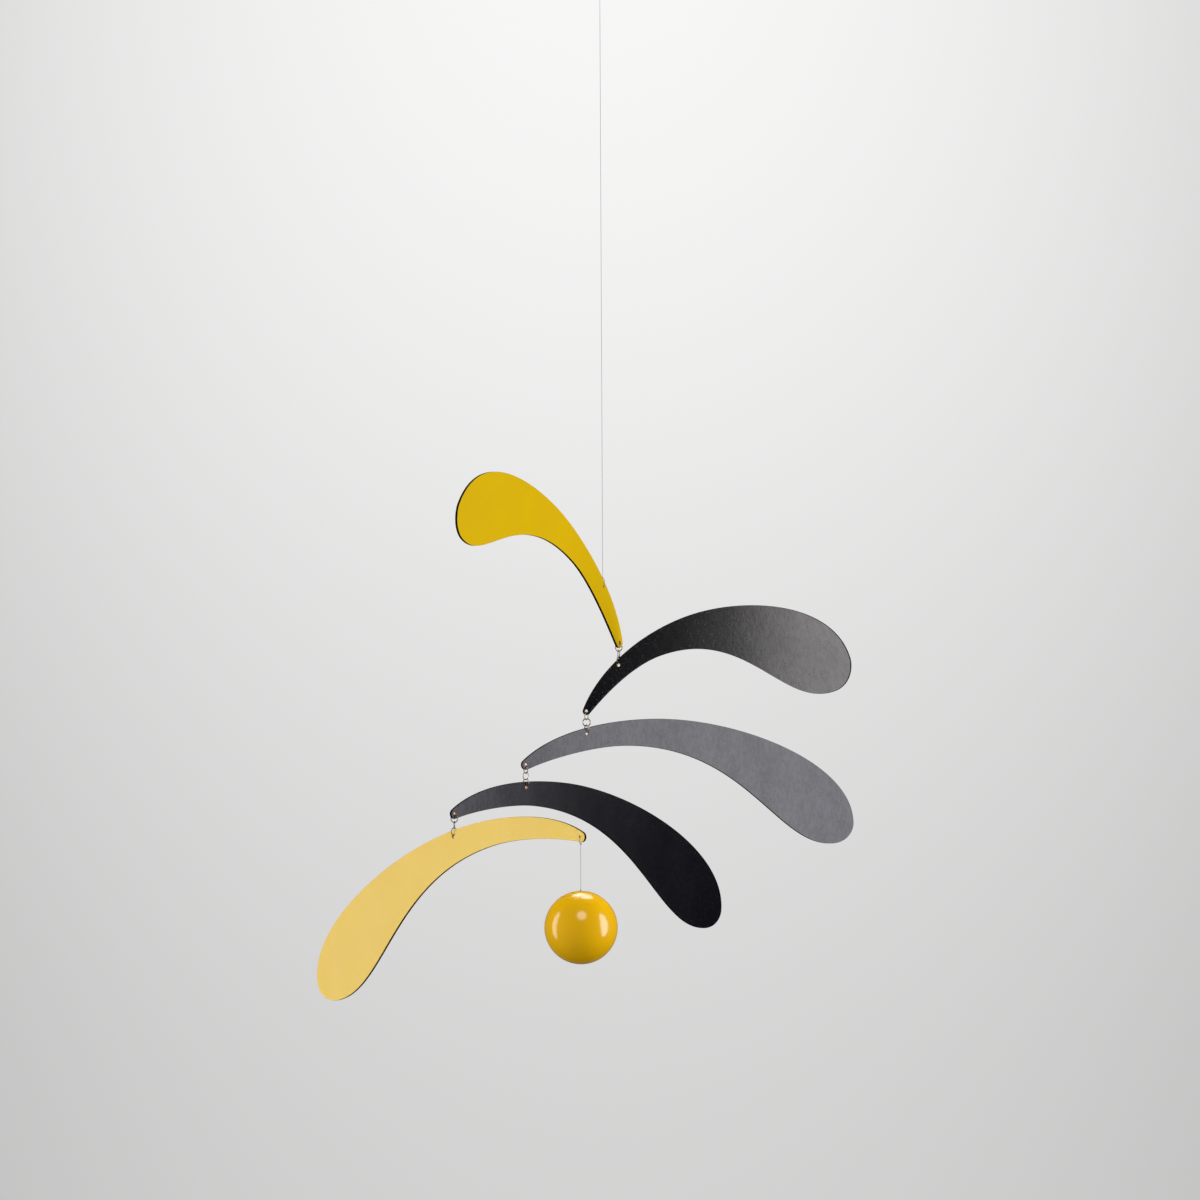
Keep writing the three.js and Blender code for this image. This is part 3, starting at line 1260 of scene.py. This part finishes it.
@dataclass(frozen=True)
class Suspension:
    """The long thread with the loop that it hangs by."""

    work: ThreadWork
    hanging_length: float = 0.505
    loop_length: float = 0.011
    loop_width: float = 0.005
    loop_taper: float = 0.8
    knot_stretch: float = 0.000825
    loop_steps: int = 12
    path_points: int = 30

    def build(self, blade: Blade) -> list[bpy.types.Object]:
        """Make the loop, the long thread, its knots and its tie.

        Args:
            blade: the first blade, already placed.

        Returns:
            The pieces.
        """
        hole = blade.hang
        plan = blade.plan
        knot_height = blade.edge_distance(plan.outline.hanging_hole(plan.hang_at, plan.hang_edge), 1)
        knot_height += self.work.knot_clearance
        top = -self.loop_length - self.knot_stretch - self.work.spacing
        bottom = hole.z + knot_height
        heights = [bottom + (top - bottom) * step / self.path_points for step in range(self.path_points + 1)]
        path = [Vector((0, 0, height)) for height in heights]
        strand = ridden(
            self.work.strand("suspension_thread_strand", path), Body.FIRST, Slot.THREAD, "suspension_thread"
        )
        knot = self.work.knot("suspension_thread_knot", Vector((0, 0, bottom)))
        tie = self.work.tie("suspension_thread_tie", hole, plan.yaw, knot_height)
        for piece in (knot, tie):
            ridden(piece, Body.FIRST, Slot.THREAD, "suspension_thread")
        loop = ridden(self.loop(), Body.LOOP, Slot.THREAD, "hanging_loop")
        loop_knot = self.work.knot("hanging_loop_knot", Vector((0, 0, -self.loop_length)))
        ridden(loop_knot, Body.LOOP, Slot.THREAD, "hanging_loop")
        top - bottom
        return [strand, knot, tie, loop, loop_knot]

    def loop(self) -> bpy.types.Object:
        """Make the loop.

        Returns:
            The piece, with the inside of the loop's top at the origin.
        """
        half = self.loop_width / 2
        radius = self.work.diameter / 2
        right = [
            Vector((0, 0, radius)),
            Vector((half, 0, -half)),
            Vector((half * self.loop_taper, 0, -self.loop_length / 2)),
            Vector((radius / 2, 0, -self.loop_length)),
        ]
        left = [Vector((-place.x, place.y, place.z)) for place in reversed(right[1:])]
        return self.work.strand("hanging_loop_thread", smooth_path([*left, *right], self.loop_steps))


@dataclass(frozen=True)
class BallPendulum:
    """The ball and the short thread that it hangs by."""

    work: ThreadWork
    radius: float = 0.0296
    drop: float = 0.044
    hole_radius: float = 0.0009
    hole_depth: float = 0.004
    hole_rounding: float = 0.0003
    around: int = 96
    rows: int = 64
    rounding_rows: int = 4
    path_steps: int = 12

    def profile(self) -> list[tuple[float, float]]:
        """Draw the ball's section.

        Returns:
            Pairs of radius and height from its middle, from just over the bottom to the hole's rounded rim,
            and down the hole.
        """
        mouth = math.asin((self.hole_radius + self.hole_rounding) / self.radius)
        section = []
        for row in range(1, self.rows + 1):
            angle = math.pi - (math.pi - mouth) * row / self.rows
            section.append((self.radius * math.sin(angle), self.radius * math.cos(angle)))
        rim = section[-1][1]
        for row in range(1, self.rounding_rows + 1):
            turn = math.pi / 2 * row / self.rounding_rows
            section.append(
                (
                    self.hole_radius + self.hole_rounding * (1 - math.sin(turn)),
                    rim - self.hole_rounding * (1 - math.cos(turn)),
                )
            )
        section.append((self.hole_radius, self.radius - self.hole_depth))
        return section

    def ball(self, centre: Vector, finish: bpy.types.Material) -> bpy.types.Object:
        """Turn the ball with the small hole in its top.

        Args:
            centre: the ball's middle.
            finish: its material.

        Returns:
            The piece.
        """
        draft = MeshDraft()
        rows = []
        for radius, height in self.profile():
            level = circle(radius, self.around, RIGHT, AWAY)
            rows.append(draft.row([point + UP * height for point in level]))
        for first, second in zip(rows, rows[1:]):
            draft.band(first, second)
        pole = draft.row([Vector((0, 0, -self.radius))])[0]
        floor = draft.row([Vector((0, 0, self.radius - self.hole_depth))])[0]
        for index in range(self.around):
            following = (index + 1) % self.around
            draft.face((rows[0][following], rows[0][index], pole))
            draft.face((rows[-1][index], rows[-1][following], floor))
        return draft.object("ball_turned", [finish], Matrix.Translation(centre))

    def build(self, blade: Blade, finish: bpy.types.Material) -> list[bpy.types.Object]:
        """Hang the ball under the last tip.

        Args:
            blade: the last blade, already placed.
            finish: the ball's material.

        Returns:
            The pieces.
        """
        tip = blade.tip()
        plan = blade.plan
        edge = blade.edge_distance(plan.outline.tip_hole(plan.hole_inset), -1)
        tie_height = -(edge + self.work.knot_clearance)
        bottom = -(self.drop + self.hole_depth / 2)
        rise = (tie_height - bottom) / self.path_steps
        path = [tip + UP * (bottom + rise * step) for step in range(self.path_steps + 1)]
        pieces = [
            self.work.strand("ball_thread_strand", path),
            self.work.knot("ball_thread_knot", tip + UP * tie_height),
            self.work.tie("ball_thread_tie", tip, plan.yaw, tie_height),
            self.work.knot("ball_thread_mouth_knot", tip - UP * self.drop),
        ]
        for piece in pieces:
            ridden(piece, Body.FIFTH, Slot.THREAD, "ball_thread")
        ball = self.ball(tip - UP * (self.drop + self.radius), finish)
        return [*pieces, ridden(ball, Body.FIFTH, Slot.BALL, "ball")]


@dataclass(frozen=True)
class PhotoCamera:
    """The camera at the photograph's viewing angle."""

    place: tuple[float, float, float] = (-0.00233, -5.0, -0.516)
    roll: float = 0.284
    half_width: float = 0.1
    sensor: float = 36.0
    nearest: float = 0.05
    farthest: float = 100.0

    def build(self) -> bpy.types.Object:
        """Make the camera and give it to the scene.

        Returns:
            The camera, level and looking along +Y, turned a little about its own axis.
        """
        data = bpy.data.cameras.new("photo_camera")
        data.sensor_fit = "HORIZONTAL"
        data.sensor_width = self.sensor
        data.lens = self.sensor / 2 / self.half_width
        data.clip_start, data.clip_end = self.nearest, self.farthest
        camera = bpy.data.objects.new("photo_camera", data)
        camera.location = self.place
        camera.rotation_euler = (math.radians(90), math.radians(self.roll), 0)
        bpy.context.scene.collection.objects.link(camera)
        bpy.context.scene.camera = camera
        return camera


@dataclass(frozen=True)
class Softbox:
    """One soft light, placed by its direction from the mobile's middle.

    Azimuth 0 is on the camera's side and 90 to the right. The light falls on the pieces named in only, or
    else on all but those named in without.
    """

    name: str
    azimuth: float
    elevation: float
    distance: float
    width: float
    height: float
    brightness: float
    tint: tuple[float, float, float] = (1.0, 1.0, 1.0)
    shape: LightShape = LightShape.ROUND
    only: tuple[str, ...] = ()
    without: tuple[str, ...] = ()
    mirrored: bool = True
    spread: bool = True

    def build(self, middle: Vector) -> bpy.types.Object:
        """Make the light.

        Args:
            middle: what the light is aimed at.

        Returns:
            The light.
        """
        data = bpy.data.lights.new(self.name, "AREA")
        data.shape = self.shape.value
        data.size, data.size_y = self.width, self.height
        fill = 1.0 if self.shape is LightShape.SQUARE else math.pi / 4
        data.energy = self.brightness * math.pi * self.width * self.height * fill
        data.color = self.tint
        turn, rise = math.radians(self.azimuth), math.radians(self.elevation)
        level = Vector((math.sin(turn), -math.cos(turn), 0))
        direction = level * math.cos(rise) + UP * math.sin(rise)
        light = bpy.data.objects.new(self.name, data)
        light.location = middle + direction * self.distance
        light.rotation_mode = "QUATERNION"
        light.rotation_quaternion = direction.to_track_quat("Z", "Y")
        light.visible_camera = False
        light.visible_glossy = self.mirrored
        light.visible_diffuse = self.spread
        bpy.context.scene.collection.objects.link(light)
        if self.only or self.without:
            lit = bpy.data.collections.new(f"{self.name}_lights")
            for name in self.only or self.without:
                lit.objects.link(bpy.data.objects[name])
            for member in lit.collection_objects:
                member.light_linking.link_state = "INCLUDE" if self.only else "EXCLUDE"
            light.light_linking.receiver_collection = lit
        return light


@dataclass(frozen=True)
class Backdrop:
    """The levels of the seen backdrop, over places from -1 to 1 between the edges of the photograph's view.

    A level is that of the middle, with a rise to the top, a fall to the sides and in the upper corners, a
    fall away from the middle's height that grows to the top, and a lift above the middle.
    """

    direction_scale: float = 10.0
    middle: float = 0.785
    rise: float = 0.166
    side_fall: float = 0.132
    corner_fall: float = 0.038
    away_fall: float = 0.013
    top_fall: float = 0.04
    lift: float = 0.03
    red: float = 1.002
    blue: float = 0.997

    def light(self, tree: Tree, direction: Socket) -> Socket:
        """Work out the colour of the backdrop.

        Args:
            tree: the nodes of the world.
            direction: the direction of the look.

        Returns:
            The colour, a grey with a faint warm tint.
        """
        x = (tree.along(direction, "X") * self.direction_scale).between(-1.0, 1.0)
        z = (tree.along(direction, "Z") * self.direction_scale).between(-1.0, 1.0)
        sideways = x * x
        sides = sideways * (self.side_fall + self.corner_fall * z)
        shade = self.middle + self.rise * z - sides - z * z * (self.away_fall + self.top_fall * z)
        shade = shade + self.lift * z.between(0.0, 1.0) * (1 - sideways)
        levels = {"Red": shade * self.red, "Green": shade, "Blue": shade * self.blue}
        return tree.node("ShaderNodeCombineColor", {}, levels)


@dataclass(frozen=True)
class Room:
    """The room's own light, as the camera, the gloss and the matt surfaces meet it."""

    backdrop: Backdrop = Backdrop()
    ambient: float = 0.15
    ambient_sides: float = 0.5
    ambient_front: float = 0.31
    brighter_front: tuple[float, float, float] = (-0.7, -0.714, 0.0)
    mirrored_dark: float = 0.012
    mirrored_backdrop: float = 0.1
    backdrop_step: tuple[float, float] = (0.6, 0.9)

    def build(self) -> None:
        """Make the world, with the backdrop for the camera and softer light for the surfaces."""
        world = bpy.data.worlds.new("studio_backdrop")
        bpy.context.scene.world = world
        tree = Tree(world)
        direction = tree.node("ShaderNodeTexCoord", {}, {}, "Generated")
        seen = self.backdrop.light(tree, direction)
        towards = {0: direction, 1: self.brighter_front}
        forward = tree.node("ShaderNodeVectorMath", {"operation": "DOT_PRODUCT"}, towards, "Value")
        across = tree.along(direction, "X")
        soft = self.ambient + self.ambient_sides * across * across + self.ambient_front * forward
        behind = tree.along(direction, "Y").rising(*self.backdrop_step)
        mirrored = self.mirrored_dark + self.mirrored_backdrop * behind
        glossy_ray = tree.node("ShaderNodeLightPath", {}, {}, "Is Glossy Ray")
        camera_ray = tree.node("ShaderNodeLightPath", {}, {}, "Is Camera Ray")
        level = tree.blend(camera_ray, tree.blend(glossy_ray, soft, mirrored), seen)
        background = tree.node("ShaderNodeBackground", {}, {"Color": level})
        tree.node("ShaderNodeOutputWorld", {}, {"Surface": background})


@dataclass(frozen=True)
class Studio:
    """The pale floor, the room and the softboxes."""

    middle: tuple[float, float, float] = (-0.03, 0.0, -0.62)
    floor_height: float = -1.5
    floor_radius: float = 4.5
    floor_steps: int = 96
    floor_brightness: float = 2.1
    floor_softness: float = 60.0
    room: Room = Room()
    softboxes: tuple[Softbox, ...] = (
        Softbox(
            name="right_strip",
            azimuth=74.1,
            elevation=3,
            distance=1.7,
            width=0.84,
            height=1.8,
            brightness=4.1,
            tint=(0.98, 0.97, 1.06),
            without=("blade_2_black_plate", "studio_floor"),
        ),
        Softbox(
            name="left_strip",
            azimuth=-88.9,
            elevation=3,
            distance=2.49,
            width=0.85,
            height=3.0,
            brightness=2.85,
            without=("studio_floor",),
        ),
        Softbox(
            name="overhead", azimuth=174, elevation=59, distance=1.5, width=1.05, height=1.0, brightness=4.0
        ),
        Softbox(
            name="front_top", azimuth=3, elevation=36, distance=2.2, width=1.1, height=1.1, brightness=2.8
        ),
        Softbox(
            name="ball_side",
            azimuth=100,
            elevation=0,
            distance=1.2,
            width=0.6,
            height=1.2,
            brightness=2.0,
            only=("ball_turned",),
            mirrored=False,
        ),
        Softbox(
            name="front_left",
            azimuth=-17.9,
            elevation=0,
            distance=0.7,
            width=0.57,
            height=0.8,
            brightness=5.15,
            tint=(1.0, 0.965, 0.965),
            shape=LightShape.SQUARE,
            only=("blade_2_black_plate",),
            spread=False,
        ),
    )

    def build(self) -> None:
        """Make the floor, the room and the lights."""
        bpy.context.scene.view_settings.view_transform = "Standard"
        bpy.context.scene.view_settings.look = "None"
        floor = self.floor()
        self.floor_light(floor)
        self.room.build()
        for softbox in self.softboxes:
            softbox.build(Vector(self.middle))

    def floor(self) -> bpy.types.Object:
        """Make the round floor.

        Returns:
            The floor, which is neither mirrored in the pieces nor a light on them.
        """
        draft = MeshDraft()
        rim = draft.row(circle(self.floor_radius, self.floor_steps, RIGHT, AWAY))
        draft.face(tuple(rim), smooth=False)
        floor = draft.object("studio_floor", [FloorPaint().material()])
        floor.location = (0, 0, self.floor_height)
        floor.visible_glossy = False
        floor.visible_diffuse = False
        return floor

    def floor_light(self, floor: bpy.types.Object) -> None:
        """Light the floor evenly from above, so that it is as pale as the backdrop.

        Args:
            floor: the floor, which alone gets this light.
        """
        data = bpy.data.lights.new("floor_light", "SUN")
        data.energy = self.floor_brightness
        data.angle = math.radians(self.floor_softness)
        light = bpy.data.objects.new("floor_light", data)
        bpy.context.scene.collection.objects.link(light)
        lit = bpy.data.collections.new("floor_light_lights")
        lit.objects.link(floor)
        light.light_linking.receiver_collection = lit


def main() -> None:
    """Build the mobile around its frame, from the camera and the thread down to the ball."""
    logging.basicConfig(level=logging.INFO, format="%(message)s")
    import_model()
    PhotoCamera().build()
    work = ThreadWork(ThreadFinish().material())
    lacquers = {Slot.YELLOW: YELLOW_LACQUER.material(), Slot.BLACK: BLACK_LACQUER.material()}
    board = [BoardEdge().material(), RawBoard().material()]
    metal = RingWire().material()
    suspension = Suspension(work)
    hang = Vector((0, 0, -suspension.hanging_length))
    for number, plan in enumerate(BLADES, start=1):
        first, last = plan is BLADES[0], plan is BLADES[-1]
        blade = Blade(
            plan,
            hang,
            THREAD_HOLE_RADIUS if first else RING_HOLE_RADIUS,
            THREAD_HOLE_RADIUS if last else RING_HOLE_RADIUS,
        )
        if first:
            suspension.build(blade)
        blade.build([lacquers[plan.slot], *board])
        if last:
            BallPendulum(work).build(blade, BallLacquer().material())
        else:
            chain = RingChain(number, blade.tip(), plan.ring_yaws, plan.body, BLADES[number].body)
            chain.build(metal)
            hang = chain.bottom()
    Studio().build()


if __name__ == "__main__":
    main()
